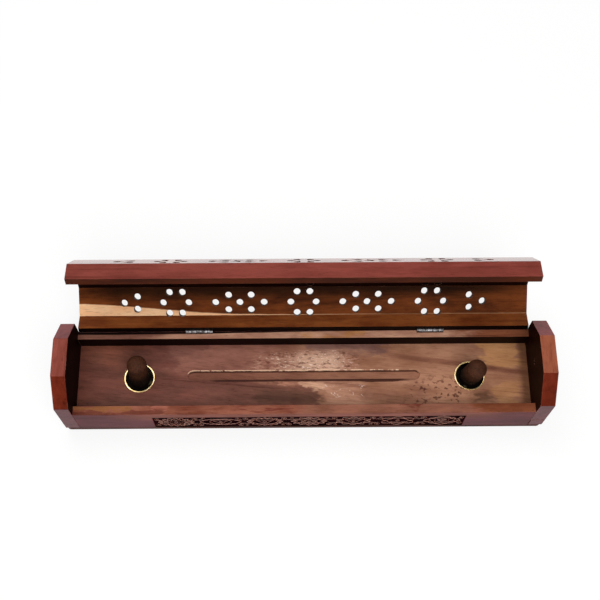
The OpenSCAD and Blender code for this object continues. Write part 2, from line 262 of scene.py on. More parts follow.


# each stain or painted tone: its light and its dark tone
# a copy of the end stain with a painted cool reflection, for the end blocks' back slopes
COOL_SHEEN_STAIN = (rgb(154, 68, 68), rgb(116, 49, 49))
STAIN_LID = (rgb(160, 78, 62), rgb(114, 50, 40))
# a darker copy of the stain as painted shade, for the end blocks' front slopes
SHADED_STAIN = (rgb(130, 50, 30), rgb(92, 30, 16))
STAIN_END = (rgb(132, 58, 50), rgb(92, 36, 32))
# the front faces' maroon stain with a painted cool, purplish reflection in it
FRONT_STAIN_AND_SHEEN = (rgb(118, 58, 63), rgb(90, 43, 48))
RAW_END = (rgb(168, 120, 72), rgb(118, 78, 42))
SHADOW = (rgb(22, 5, 3), rgb(10, 1, 1))
INSIDE = (rgb(132, 68, 30), rgb(58, 24, 9))
# painted shade for the walls of the lid panels' pierced holes
BORE_SHADE = (rgb(86, 30, 8), rgb(52, 16, 4))
WORN = rgb(214, 150, 124)

# ---------------------------------------------------------------- masks and painted spots

BENDS = (9.0, 5.0)                   # how far a ragged edge bends along X and Y, times its raggedness


def ripple(s, scale, size, seed=0.0):
    """Noise from -size / 2 to size / 2, to bend the edges of a mask."""
    noise = s.noise(scale, (seed, seed, seed), detail=5, roughness=0.6)
    return s.times(s.minus(noise, 0.5), size)


def wavy(s, value, scale, size, seed=0.0):
    """A place's coordinate with a ripple added, so that masks made from it get uneven edges."""
    return s.plus(value, ripple(s, scale, size, seed))


def box_mask(s, low, high, soft=0.5, waves=(0.0, 0.0, 0.0)):
    """1 inside the box from low to high, in mm, with soft and, if asked, wavy sides. The box has no side
    where its corner says None."""
    mask = 1.0
    for value, start, stop, wave in zip(s.axes(), low, high, waves):
        value = s.plus(value, wave)
        for edge, sign in ((start, 1), (stop, -1)):
            if edge is not None:
                mask = s.times(mask, s.span(value, (edge - soft * sign) * MM, (edge + soft * sign) * MM))
    return mask


def paint(s, colour, tone, spots):
    """Paint soft-edged spots: each a place (left, front, right, back) in mm, the softness and raggedness
    of its edge in mm, its light and dark tone, and how much it covers."""
    for number, (place, soft, ragged, light, dark, cover) in enumerate(spots):
        left, front, right, back = place
        scale = (250 / ragged, 600 / ragged, 600 / ragged)
        waves = [ripple(s, scale, bend * ragged * MM, number * 1.7 + bend) for bend in BENDS]
        mask = box_mask(s, (left, front, None), (right, back, None), soft, waves + [0.0])
        colour = s.mix(s.times(mask, cover), colour, s.mix(tone, rgb(*dark), rgb(*light)))
    return colour


# ---------------------------------------------------------------- front and back wall

FRIEZE = ((-95.05, -27.9, 3.3), (101.05, -26.6, 24.35))     # walls and floor of the sunk panel, in mm
FRONT_EDGE_SPOTS = [
    ((None, -25.2, -106, -22.2), 0.8, 2, (160, 104, 64), (108, 66, 38), 0.8),
    ((None, None, -88, -25.8), 0.7, 3, (120, 64, 54), (84, 38, 32), 0.7),
    ((-97, -27, -84, -22), 1.5, 4, (206, 134, 116), (160, 90, 74), 0.6),
    ((0, None, 108, None), 6.0, 8, (156, 104, 84), (110, 68, 52), 0.8),
    ((61, -26.6, 74, -21), 1.5, 4, (116, 48, 38), (76, 26, 20), 0.75),
    ((108, None, None, None), 4.0, 6, (138, 78, 50), (98, 50, 30), 0.85),
]
BACK_EDGE_SPOTS = [
    ((-100, None, 100, None), 22.0, 14, (226, 178, 148), (166, 114, 92), 0.85),
    ((-6, None, 30, 24.4), 3.0, 8, (214, 156, 96), (160, 104, 60), 0.8),
    ((96, None, None, None), 8.0, 10, (134, 76, 48), (92, 46, 28), 0.9),
]


def front_wall_paint(s, colour, tone):
    """Uneven stain on the top edge, golden at its left end, the same tone on the strip above the frieze,
    and a near black ground in the frieze, darker than its own colour as painted shade in the sunk panel."""
    edge = paint(s, s.mix(tone, rgb(108, 54, 38), rgb(166, 104, 84)), tone, FRONT_EDGE_SPOTS)
    scratch = s.span(s.noise((70, 700, 700), (2, 2, 2), detail=3), 0.55, 0.66)
    where = box_mask(s, (-62, None, None), (-8, -21.4, None), 5.0)
    edge = s.mix(s.times(scratch, where, 0.7), edge, rgb(92, 32, 28))
    colour = s.mix(s.facing(UP), colour, edge)
    x, _, z = s.axes()
    strip = s.times(s.band(x, (-130, -92), (98, 136)), s.span(z, 16 * MM, 25 * MM), s.facing(FRONT))
    colour = s.mix(strip, colour, s.mix(tone, rgb(112, 58, 46), rgb(158, 92, 76)))
    # painted shade: the frieze ground is near black, darker than its own colour
    return s.mix(box_mask(s, *FRIEZE, 0.05), colour, s.mix(tone, rgb(20, 5, 8), rgb(50, 18, 22)))


def back_wall_paint(s, colour, tone):
    """The top edge: worn and pale in front, and near black towards the hinge line as painted shade under the
    open lid.
    """
    x, y, _ = s.axes()
    edge = paint(s, s.mix(tone, rgb(108, 68, 56), rgb(158, 110, 92)), tone, BACK_EDGE_SPOTS)
    limit = s.span(x, -145 * MM, 100 * MM, 24.9 * MM, 26.9 * MM)
    shaded_rear = s.minus(wavy(s, y, (24, 300, 300), 1.2 * MM, 5.0), limit)
    # painted shade: the rear of the top edge goes near black under the open lid
    edge = s.mix(s.span(shaded_rear, -0.2 * MM, 0.3 * MM), edge, rgb(12, 3, 3))
    return s.mix(s.facing(UP), colour, edge)


# ---------------------------------------------------------------- tray

TRAY_SPOTS = [
    ((-8, None, None, None), 24.0, 12, (192, 140, 110), (140, 90, 66), 0.95),
    ((None, None, -112, None), 7.0, 8, (116, 64, 52), (78, 40, 32), 0.7),
    ((-138, 7, -108, None), 5.0, 6, (146, 86, 66), (102, 56, 42), 0.7),
    ((-84, 4.5, -10, None), 7.0, 7, (170, 114, 98), (120, 72, 58), 0.75),
    ((-122, -21, -90, -11), 6.0, 6, (132, 78, 66), (98, 56, 48), 0.7),
    ((-96, 12, -62, None), 4.0, 6, (100, 58, 52), (76, 42, 38), 0.5),
    ((0, 16.5, 54, None), 3.0, 5, (120, 86, 86), (92, 62, 62), 0.7),
    ((-64, None, 9.5, -4.6), 1.6, 2.2, (124, 74, 62), (88, 50, 41), 0.8),
    ((-30, -17.4, 9.3, -8), 2.4, 3, (104, 64, 50), (66, 38, 28), 0.75),
    ((-16, -5.2, 8, -2.4), 1.6, 2.2, (214, 150, 122), (150, 96, 76), 0.6),
    ((-2, -7.4, 11, -2.4), 1.2, 2.6, (240, 190, 156), (164, 108, 84), 0.75),
    ((11, None, 40, -3), 2.4, 5, (204, 152, 126), (140, 92, 72), 0.5),
    ((40, -20, 74, -7), 5.0, 7, (150, 100, 80), (112, 70, 54), 0.5),
    ((116, 5.5, 139, None), 2.2, 3.5, (216, 160, 108), (178, 124, 80), 0.8),
    ((121, None, 138, -2.5), 2.6, 4, (206, 152, 104), (164, 112, 74), 0.75),
    ((108, -16.5, 119, -11.5), 1.6, 2.5, (96, 62, 42), (70, 42, 28), 0.6),
]
GROOVE_HALF, GROOVE_Y, GROOVE_R = 70.75, 1.0, 3.25     # the ash groove, in mm
GROOVE_SOILED = (18.9, 18.6)                           # heights between which its soil sets in, in mm
STREAK_SLANT = 0.142                                   # of the dark streak at the right, per mm of X


def sheen_patch(s, colour):
    """Painted reflection behind the groove: a pale sheen with painted glints and dark flecks, and thin curved
    painted glints in front of it.
    """
    x, y, _ = s.axes()
    # painted reflection: a pale, speckled sheen where the tray mirrors the light behind
    sheen_area = s.times(s.band(x, (-48, 0), (22, 42)), s.band(y, (4.2, 4.6), (11, 21)))
    core = s.times(s.band(x, (-14, 6), (18, 28)), sheen_area)
    cloud = s.noise((150, 420, 420), (3, 3, 3), detail=6, roughness=0.75)
    brighter_middle = s.plus(s.times(sheen_area, 0.18), s.times(core, 0.14))
    sheen_cloud = s.times(s.span(s.plus(cloud, brighter_middle), 0.48, 0.68), s.span(sheen_area, 0.02, 0.30))
    colour = s.mix(s.times(sheen_cloud, 0.8), colour, s.mix(core, rgb(186, 136, 114), rgb(224, 180, 154)))
    glint_noise = s.plus(s.noise((430, 1000, 1000), detail=5, roughness=0.74), s.times(sheen_cloud, 0.16))
    lit = s.times(s.span(glint_noise, 0.71, 0.80), s.span(sheen_area, 0.04, 0.30), 0.9)
    colour = s.mix(lit, colour, rgb(255, 228, 206))
    rust = s.span(s.noise((230, 560, 560), (7, 7, 7), detail=6, roughness=0.65), 0.53, 0.62)
    colour = s.mix(s.times(rust, s.span(sheen_area, 0.1, 0.4), 0.75), colour, rgb(98, 50, 36))
    # painted glints: thin curved bright lines in front of the groove
    glint_curl = s.maths("ABSOLUTE", s.minus(s.noise((120, 330, 330), (9, 1, 3), detail=2), 0.5))
    glint_curl = s.times(s.span(glint_curl, 0.016, 0.006), s.span(s.noise((200, 400, 400), (2, 8, 1)), 0.46, 0.56))
    where = box_mask(s, (12, -13.5, None), (40, -5.5, None), 1.5)
    return s.mix(s.times(glint_curl, where, 0.75), colour, rgb(250, 222, 206))


def groove_paint(s, colour, tone):
    """The ash groove: soil in it, a line of painted shade along its front rim, and along its back rim a
    painted highlight with a line of painted shade just inside it.
    """
    x, y, z = s.axes()
    beyond = s.maths("MAXIMUM", s.minus(s.maths("ABSOLUTE", x), GROOVE_HALF * MM), 0.0)
    across = s.minus(y, GROOVE_Y * MM)
    rim = wavy(s, s.minus(s.length(beyond, across), GROOVE_R * MM), (300, 300, 300), 0.5 * MM, 3.0)

    left_soil = s.mix(tone, rgb(96, 52, 38), rgb(130, 80, 60))
    right_soil = s.mix(tone, rgb(110, 64, 47), rgb(148, 97, 75))
    soil = s.mix(s.span(x, -60 * MM, 30 * MM), left_soil, right_soil)
    soiled = s.span(z, GROOVE_SOILED[0] * MM, GROOVE_SOILED[1] * MM)
    colour = s.mix(s.times(soiled, 0.7), colour, soil)

    clot = s.times(s.band(x, (30, 42), (56, 64)), 0.6 * MM)
    ragged = wavy(s, s.plus(across, clot), (110, 500, 500), 1.1 * MM, 6.0)
    # painted shade along the front rim
    line = s.times(s.span(across, -2.0 * MM, -2.5 * MM), s.span(ragged, -4.3 * MM, -3.8 * MM))
    colour = s.mix(s.times(line, s.band(x, (-62, -54), (60, 73)), 0.95), colour, rgb(54, 15, 8))

    behind = s.span(across, 0.8 * MM, 2.4 * MM)
    gaps = s.span(x, 10 * MM, 62 * MM, 0.0, 0.16)
    broken = s.span(s.minus(s.noise((260, 90, 90), (1, 4, 2), detail=4), gaps), 0.36, 0.44)
    fades = s.times(s.span(x, 70 * MM, 62 * MM), s.span(x, -30 * MM, -10 * MM, 0.75, 1.0))
    # painted highlight along the back rim
    crest = s.times(s.band(rim, (-0.1, 0.1), (0.5, 0.75)), behind, broken, fades)
    colour = s.mix(crest, colour, rgb(246, 204, 170))
    # painted shade on the groove's back wall, just inside the rim
    burn_and_shade = s.times(s.band(rim, (-1.1, -0.7), (-0.1, 0.05)), behind, 0.85)
    return s.mix(burn_and_shade, colour, rgb(50, 18, 10))


def tray_paint(s, colour, tone):
    """Uneven stain, maroon at the left and tan at the right, with a dark streak, a painted sheen with glints,
    the groove with its painted highlight and shade, painted shade along the right end, and dark specks by the
    right cup."""
    x, y, _ = s.axes()
    colour = paint(s, colour, tone, TRAY_SPOTS)
    slanted = wavy(s, s.plus(y, s.times(x, STREAK_SLANT)), (30, 90, 90), 2.0 * MM, 9.0)
    streak = s.times(s.band(slanted, (19.6, 21.2), (23.0, 24.6)), s.span(x, 48 * MM, 66 * MM, 0.0, 0.65))
    colour = s.mix(streak, colour, s.mix(tone, rgb(96, 50, 38), rgb(132, 78, 58)))
    # painted shade: a darker strip along the tray's right end, by the end block's inner wall
    end = s.span(wavy(s, x, (60, 120, 120), 3 * MM, 8.0), 136.5 * MM, 141 * MM, 0.0, 0.8)
    colour = s.mix(end, colour, s.mix(tone, rgb(92, 55, 34), rgb(124, 80, 50)))
    colour = groove_paint(s, sheen_patch(s, colour), tone)
    specks = s.span(s.noise((300, 430, 430), (5, 5, 5), detail=4, roughness=0.6), 0.55, 0.61)
    where = box_mask(s, (66, -21, None), (104, -2, None), 7.0, [ripple(s, (30, 60, 60), 16 * MM)] * 3)
    return s.mix(s.times(specks, where, 0.85), colour, rgb(74, 30, 20))


# ---------------------------------------------------------------- bottom board, door, end block, lid

STICK_HOLE_Y, STICK_HOLE_Z, STICK_HOLE_R = 2.0, 39.5, 1.8     # in mm


def bottom_paint(s, colour, tone):
    """The board's upper side: near black inside the compartment as painted shade, worn to the bare wood along
    the door.
    """
    # painted shade inside the closed compartment
    inside = s.mix(tone, rgb(14, 4, 3), rgb(44, 18, 12))
    bare = s.mix(tone, rgb(104, 60, 34), rgb(160, 104, 62))
    sill = s.span(wavy(s, s.axes()[0], (90, 160, 160), 4 * MM, 6.0), 146 * MM, 149.5 * MM)
    return s.mix(s.facing(UP), colour, s.mix(sill, inside, bare))


def door_paint(s, colour, tone):
    """Stain rubbed off the door's inner side near its pivot."""
    rubbed = s.span(wavy(s, s.axes()[1], (120, 120, 120), 6 * MM, 2.0), 15 * MM, 23 * MM, 0.0, 0.8)
    return s.mix(s.times(rubbed, s.facing(LEFT)), colour, s.mix(tone, RAW_END[1], RAW_END[0]))


def stick_hole_paint(s, colour, tone):
    """Sooty wall of the stick hole."""
    _, y, z = s.axes()
    reach = s.length(s.minus(y, STICK_HOLE_Y * MM), s.minus(z, STICK_HOLE_Z * MM))
    wall = s.span(reach, (STICK_HOLE_R + 0.3) * MM, STICK_HOLE_R * MM)
    return s.mix(wall, colour, s.mix(tone, rgb(10, 3, 2), rgb(30, 12, 8)))


def top_panel_paint(s, colour, tone):
    """Sooty brown on the inside of the lid's top panel, going near black towards its hinge side as painted
    shade.
    """
    height = wavy(s, s.axes()[2], (14, 90, 90), 8 * MM, 4.0)
    sooty_brown = s.mix(tone, rgb(48, 20, 9), rgb(104, 52, 26))
    # painted shade: near black towards the hinge side
    inside = s.mix(s.span(height, 43 * MM, 55 * MM), s.mix(tone, *SHADOW), sooty_brown)
    return s.mix(s.facing(LID_DOWN), colour, inside)


def back_panel_paint(s, colour, tone):
    """Pale sapwood wedge along the lower edge of the lid's back panel, inside, and above it a near black
    painted shadow of the lid's front rail, fainter towards the panel's ends.
    """
    x, y, _ = s.axes()
    inside = s.facing(LID_BACK_SLOPE_INSIDE)
    # painted shadow of the front rail, near black, fainter towards the panel's ends
    soot_and_shade = s.span(wavy(s, y, (14, 90, 90), 5 * MM, 2.0), 44 * MM, 52 * MM, 0.0, 0.85)
    thin = s.span(s.maths("ABSOLUTE", x), 146 * MM, 116 * MM, 0.25, 1.0)
    colour = s.mix(s.times(soot_and_shade, thin, inside), colour, rgb(20, 8, 3))
    limit = s.span(x, -150 * MM, -30 * MM, 43.8 * MM, 37.6 * MM)
    edge = s.minus(wavy(s, y, (30, 200, 200), 1.6 * MM, 1.0), limit)
    wedge = s.times(s.span(edge, 0.4 * MM, -0.4 * MM), inside, s.span(x, 50 * MM, -35 * MM, 0.2, 1.0))
    return s.mix(wedge, colour, s.mix(tone, rgb(246, 180, 130), rgb(255, 212, 166)))


# ---------------------------------------------------------------- metal, incense and carved lines


def brass(name, seed, soot_and_shade=False):
    """Brushed brass, sooty in the bowl of a cup if asked."""
    s = Shader(name)
    offset = (seed, seed * 2.0, seed * 3.0)
    cloud = s.noise((260, 260, 260), offset, detail=4)
    brushed = s.noise((900, 900, 5200), offset, detail=2)
    colour = s.mix(s.span(cloud, 0.35, 0.7), rgb(252, 232, 184), rgb(226, 190, 122))
    rough = s.plus(0.2, s.times(cloud, 0.2))
    metal = 1.0
    if soot_and_shade:
        bowl = s.span(s.axes()[2], 19.2 * MM, 18.4 * MM)
        burn_and_shade = s.times(bowl, s.span(cloud, 0.15, 0.45, 0.85, 1.0))
        colour = s.mix(burn_and_shade, colour, rgb(8, 2, 1))
        rough = s.plus(rough, s.times(burn_and_shade, 0.5))
        metal = s.minus(1.0, s.times(burn_and_shade, 0.95))
    return s.surface(Base_Color=colour, Metallic=metal, Roughness=rough,
                     Normal=s.bump(brushed, 0.12, 0.1 * MM), Specular_IOR_Level=0.1)


def steel(name):
    """Dull, slightly tarnished steel of the hinges."""
    s = Shader(name)
    cloud = s.noise((420, 420, 420), detail=4)
    drawn = s.noise((700, 4200, 4200), detail=2)
    colour = s.mix(s.span(cloud, 0.38, 0.66), rgb(156, 154, 156), rgb(92, 86, 84))
    rough = s.plus(0.34, s.times(cloud, 0.25))
    return s.surface(Base_Color=colour, Metallic=1.0, Roughness=rough, Normal=s.bump(drawn, 0.2, 0.1 * MM))


def incense(name, seed):
    """Pressed powder: dark, matt, fine grains, darker towards the foot as painted shade down in the cup."""
    s = Shader(name)
    offset = (seed, seed * 2.0, seed * 3.0)
    grain = s.noise((1500, 1500, 1500), offset, detail=4, roughness=0.7)
    lumps = s.noise((240, 240, 240), offset, detail=3)
    colour = s.mix(s.span(grain, 0.35, 0.7), rgb(52, 27, 16), rgb(90, 52, 33))
    colour = s.mix(s.span(lumps, 0.45, 0.75, 0.0, 0.5), colour, rgb(34, 17, 10))
    # painted shade: the foot darkens where it stands in the cup
    foot = s.span(s.axes()[2], 36 * MM, 26 * MM)
    colour = s.mix(foot, colour, rgb(17, 6, 3))
    height = s.plus(s.times(grain, 0.4), s.times(lumps, 0.6))
    return s.surface(Base_Color=colour, Roughness=0.7, Normal=s.bump(height, 0.5, 0.4 * MM),
                     Specular_IOR_Level=0.12)


def carved_lines(name):
    """Copper-coloured crests of the raised lines, with a painted highlight on their upper flanks from the
    light above, and painted shade at their feet and on their lower flanks."""
    s = Shader(name)
    fibre = s.noise((300, 1500, 1500), detail=4)
    colour = s.mix(s.span(fibre, 0.3, 0.7), rgb(176, 86, 64), rgb(222, 128, 98))
    # painted highlight on the upper flanks, painted shade on the lower flanks and the feet
    colour = s.mix(s.facing(UP, 0.25, 0.6), colour, rgb(255, 196, 178))
    colour = s.mix(s.facing(DOWN, 0.3, 0.7), colour, rgb(70, 26, 24))
    raised = s.span(s.axes()[1], -27.65 * MM, -27.73 * MM)
    colour = s.mix(raised, rgb(30, 8, 10), colour)
    return s.surface(Base_Color=colour, Roughness=0.42, Normal=s.bump(fibre, 0.25, 0.1 * MM),
                     Specular_IOR_Level=0.05)


# ---------------------------------------------------------------- material of each node

# the end blocks' sides as copies of one stain: painted shade on the front slopes, and a painted cool
# reflection on the back slopes and front faces
END_FACES = [(FRONT_SLOPE, *SHADED_STAIN), (BACK_SLOPE, *COOL_SHEEN_STAIN), (FRONT, *FRONT_STAIN_AND_SHEEN)]
END_POLISH = [(FRONT, 0.20), (BACK_SLOPE, 0.32), (BACK, 0.2)]

MATERIALS = {
    "bottom_board": wood(
        "bottom_board_wood", rgb(124, 76, 58), rgb(78, 44, 34), 1, shine=0.05,
        worn=rgb(170, 116, 92), wear=0.35, patches=bottom_paint,
        faces=[(FRONT, rgb(98, 56, 48), rgb(60, 34, 30)), (RIGHT, rgb(150, 96, 58), rgb(100, 58, 34))]),
    "front_wall": wood(
        "front_wall_wood", *FRONT_STAIN_AND_SHEEN, 2, shine=0.0, worn=WORN, wear=0.3, polish=[(FRONT, 0.20)],
        faces=[(BACK, *SHADOW), (DOWN, *INSIDE), (RIGHT, *RAW_END)], patches=front_wall_paint, bare=FRIEZE),
    "back_wall": wood(
        "back_wall_wood", *STAIN_END, 3, shine=0.05, worn=WORN, wear=0.3, polish=[(BACK, 0.3)],
        faces=[(FRONT, *SHADOW), (RIGHT, *RAW_END)], patches=back_wall_paint),
    # end blocks: the lighter tops are painted light, and the near black inner faces painted shade
    "left_end_block": wood(
        "left_end_wood", *STAIN_END, 4, shine=0.05, worn=WORN, along=1, polish=END_POLISH + [(LEFT, 0.15)],
        faces=END_FACES + [(UP, rgb(160, 84, 72), rgb(118, 54, 44)), (RIGHT, *SHADOW)]),
    "right_end_block": wood(
        "right_end_wood", *STAIN_END, 5, shine=0.05, worn=WORN, along=1, polish=END_POLISH + [(RIGHT, 0.15)],
        faces=END_FACES + [(UP, rgb(168, 96, 70), rgb(124, 62, 44)), (LEFT, rgb(44, 9, 4), rgb(20, 3, 2))],
        patches=stick_hole_paint),
    "storage_door": wood(
        "door_wood", *STAIN_END, 6, shine=0.05, worn=WORN, along=1, polish=[(FRONT, 0.20), (RIGHT, 0.15)],
        faces=[(FRONT, *FRONT_STAIN_AND_SHEEN)], patches=door_paint),
    "tray_floor": wood(
        "tray_wood", rgb(128, 74, 62), rgb(84, 46, 38), 7, rough=0.40, shine=0.2, tilt=0.10,
        patches=tray_paint),
    "lid_front_rail": wood(
        "lid_front_rail_wood", rgb(146, 70, 60), rgb(116, 51, 43), 8, rough=0.42, worn=WORN, wear=0.2,
        faces=[(LID_DOWN, rgb(92, 40, 20), rgb(56, 22, 12)), (LID_BACK, *INSIDE)]),
    "lid_front_panel": wood(
        "lid_front_panel_wood", *BORE_SHADE, 9, rough=0.4, shine=0.04, worn=WORN, wear=0.3, ends=STAIN_END,
        polish=[(LID_FRONT_SLOPE, 1.0)],
        faces=[(LID_FRONT_SLOPE, rgb(190, 108, 92), rgb(142, 72, 62)), (LID_FRONT_SLOPE_INSIDE, *INSIDE)]),
    "lid_top_panel": wood(
        "lid_top_panel_wood", *SHADOW, 10, shine=0.05, worn=WORN, wear=0.2, ends=STAIN_END,
        polish=[(LID_UP, 0.2)], faces=[(LID_UP, *STAIN_LID)], patches=top_panel_paint),
    "lid_back_panel": wood(
        "lid_back_panel_wood", *BORE_SHADE, 11, shine=0.04, worn=WORN, wear=0.2, ends=STAIN_END,
        polish=[(LID_BACK_SLOPE, 0.2)],
        faces=[(LID_BACK_SLOPE, *STAIN_LID), (LID_BACK_SLOPE_INSIDE, *INSIDE)], patches=back_panel_paint),
    "lid_back_rail": wood(
        "lid_back_rail_wood", *STAIN_END, 12, polish=[(LID_BACK, 0.2)],
        # the rail's lower edge face is painted shade, near black in the gap at the hinge line
        faces=[(LID_FRONT, rgb(156, 88, 44), rgb(96, 42, 16)), (LID_DOWN, rgb(8, 0, 0), rgb(3, 0, 0))]),
    "left_cone_cup": brass("left_cup_brass", 1, soot_and_shade=True),
    "right_cone_cup": brass("right_cup_brass", 2, soot_and_shade=True),
    "door_pivot_pin": brass("pivot_brass", 5),
    "left_incense_cone": incense("left_cone_incense", 3),
    "right_incense_cone": incense("right_cone_incense", 4),
}
HARDWARE = steel("hinge_steel")      # the hinges' leaves, pins and screws

# ---------------------------------------------------------------- CAD nodes

# bevel width of each node's edges, in mm; the small metal parts aren't listed
BEVELS = {
    "bottom_board": 0.5, "front_wall": 0.35, "back_wall": 0.35, "left_end_block": 0.5,
    "right_end_block": 0.5, "storage_door": 0.4, "tray_floor": 0.3, "lid_front_rail": 0.9,
    "lid_front_panel": 0.25, "lid_top_panel": 0.25, "lid_back_panel": 0.25, "lid_back_rail": 0.3,
    "left_cone_cup": 0.12, "right_cone_cup": 0.12,
}
SMALL_BEVEL = 0.08
NO_BEVEL = ("left_incense_cone", "right_incense_cone")
WELD_GAP = 0.004                     # mm
SHARP_EDGE = math.radians(35)


def dress(node, piece):
    """Give a CAD node its material, and soften its edges with modifiers."""
    material = MATERIALS.get(node, HARDWARE)
    if piece.material_slots:
        for slot in piece.material_slots:
            slot.material = material
    else:
        piece.data.materials.append(material)
    weld = piece.modifiers.new("weld", "WELD")
    weld.merge_threshold = WELD_GAP * MM
    if node not in NO_BEVEL:
        bevel = piece.modifiers.new("soft_edges", "BEVEL")
        bevel.width = BEVELS.get(node, SMALL_BEVEL) * MM
        bevel.segments = 2
        bevel.limit_method = "ANGLE"
        bevel.angle_limit = SHARP_EDGE
    shade = piece.modifiers.new("shading", "WEIGHTED_NORMAL")
    shade.mode = "FACE_AREA"
    shade.weight = 50


for node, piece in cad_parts.items():
    dress(node, piece)

# ---------------------------------------------------------------- frieze

# in mm
FRIEZE_CENTRE_X = 3.0
FRIEZE_CENTRE_Z = 13.9
FRIEZE_PITCH = 28.0              # from one medallion to the next
MEDALLION = (11.4, 8.65)         # half width and half height
SCROLL_Z = 6.5                   # of the scrolls between the medallions, above and below the centre
CORNER_SCROLL = (95.4, 6.0)      # of the scrolls in the corners, from the centre
GROUND_Y = -27.2                 # floor of the sunk panel
SINK = 0.05                      # feet of the lines, below that floor
LINE_H = 0.58
LINE_W = 0.37
LAYER_STEP = 0.03                # how much lower each line of a medallion is than the one round it
TENDRIL_H = LINE_H - 0.04
TENDRIL_W = LINE_W * 0.8
TENDRIL_STEP = 0.02              # how much lower the small scrolls are
FOOT_SPREAD = 0.14               # how far a line's foot stands out beyond half its width
CREST_TAPER = 0.1                # how far its crest stays inside that
LEAST_CREST = 0.03               # least half width of the crest

MITRE_LIMIT = 1.9                # how much a line may widen at a corner, as a factor
TINY = 1e-6                      # no length, apart from rounding

POINT_DOWN = -math.pi / 2
POINT_UP = math.pi / 2
CLOSED, OPEN = True, False


def polar(radius, angle, centre=(0.0, 0.0)):
    return (centre[0] + radius * math.cos(angle), centre[1] + radius * math.sin(angle))


def polygon(corners, radius, turn):
    return [polar(radius, turn + math.tau * i / corners) for i in range(corners)]


def ring(radius, count=56):
    return polygon(count, radius, 0.0)


def petals(count, inner, outer, turn=0.0, steps=8, fullness=0.55):
    """Closed outline of pointed petals, one tip at the top."""
    outline = []
    for i in range(count):
        for j in range(steps):
            t = j / steps
            swell = (1 - abs(2 * t - 1)) ** fullness
            angle = POINT_UP + turn + math.tau * (i + t - 0.5) / count
            outline.append(polar(inner + (outer - inner) * swell, angle))
    return outline


def drop(size, height=0.0, steps=20):
    """Flame-shaped bud standing on its round end."""
    angles = [math.tau * i / steps for i in range(steps)]
    return [(size * 0.62 * math.sin(a) * math.sin(a / 2) ** 1.5, height + size * math.cos(a)) for a in angles]


def arc(radius, start, stop, count=16):
    return [polar(radius, start + (stop - start) * i / (count - 1)) for i in range(count)]


# each medallion from its rim inwards: the outline of every line, closed or open, and its relative width
MEDALLIONS = [
    [(petals(16, 0.74, 1.0), CLOSED, 0.9), (petals(12, 0.46, 0.70, 0.2), CLOSED, 0.9),
     (ring(0.34, 32), CLOSED, 0.8), (drop(0.20), CLOSED, 0.7)],
    [(petals(2, 0.64, 1.14, POINT_UP, 28, 1.4), CLOSED, 1.0), (ring(0.60, 48), CLOSED, 0.9),
     (polygon(3, 0.46, POINT_DOWN), CLOSED, 0.9), (drop(0.15, 0.02), CLOSED, 0.7)],
    [(petals(16, 0.74, 1.0, fullness=0.8), CLOSED, 0.9), (ring(0.70), CLOSED, 0.9),
     (polygon(3, 0.56, POINT_DOWN), CLOSED, 1.0), (drop(0.2), CLOSED, 0.7)],
    [(petals(12, 0.72, 1.0, fullness=0.75), CLOSED, 0.9), (ring(0.68), CLOSED, 0.8),
     (polygon(3, 0.56, POINT_DOWN), CLOSED, 0.9), (polygon(3, 0.56, POINT_UP), CLOSED, 0.9),
     (drop(0.16), CLOSED, 0.6)],
    [(petals(10, 0.70, 1.0, fullness=0.75), CLOSED, 0.9), (ring(0.66), CLOSED, 0.9),
     (polygon(3, 0.52, POINT_DOWN), CLOSED, 1.0), (drop(0.18, 0.02), CLOSED, 0.7)],
    [(petals(6, 0.64, 1.0), CLOSED, 1.0), (ring(0.60), CLOSED, 1.0),
     (arc(0.44, math.pi * 1.12, math.pi * 1.88), OPEN, 0.9), (drop(0.22, 0.1), CLOSED, 0.9)],
    [(petals(4, 0.62, 1.02, 0.0, 14, 0.75), CLOSED, 1.0),
     (petals(4, 0.60, 0.92, math.pi / 4, 14, 0.75), CLOSED, 0.8),
     (polygon(4, 0.54, math.pi / 4), CLOSED, 0.9), (polygon(3, 0.28, POINT_DOWN), CLOSED, 0.9)],
]
MIDDLE = (len(MEDALLIONS) - 1) / 2


def scroll(centre, radius, turns, start, hand, tail, count=34):
    """Spiral tendril that uncurls into a tail; sizes in mm, hand 1 or -1 for the way it turns."""
    points = []
    for i in range(count):
        t = i / (count - 1)
        angle = start + hand * turns * math.tau * (1 - t)
        points.append(polar(radius * (0.12 + 0.88 * t), angle, centre))
    return points + tail


def tendrils():
    """Scrolls above and below: in each gap between the medallions a large one with a small one beside it,
    and one in each corner of the frieze."""
    lines = []

    def place(line, x, z):
        lines.append([(x + u, z + v) for u, v in line])

    for gap in range(len(MEDALLIONS) - 1):
        x = FRIEZE_CENTRE_X + (gap + 0.5 - MIDDLE) * FRIEZE_PITCH
        side = 1 if gap % 2 else -1
        for up in (1, -1):
            start, lean = POINT_DOWN * up, side * up
            large_tail = [(-lean * 2.2, -up * 2.9), (-lean * 4.2, -up * 3.1)]
            small_tail = [(-lean * 0.6, -up * 1.7)]
            place(scroll((lean * 1.6, 0), 2.3, 1.6, start, lean, large_tail), x, SCROLL_Z * up)
            place(scroll((-lean * 3.0, up * 0.9), 1.5, 1.4, start, -lean, small_tail), x, SCROLL_Z * up)
    for end in (-1, 1):
        x = FRIEZE_CENTRE_X + end * CORNER_SCROLL[0]
        for up in (1, -1):
            tail = [(-end * 1.9, -up * 2.6)]
            place(scroll((0, 0), 2.0, 1.5, POINT_DOWN * up, end * up, tail), x, CORNER_SCROLL[1] * up)
    return lines


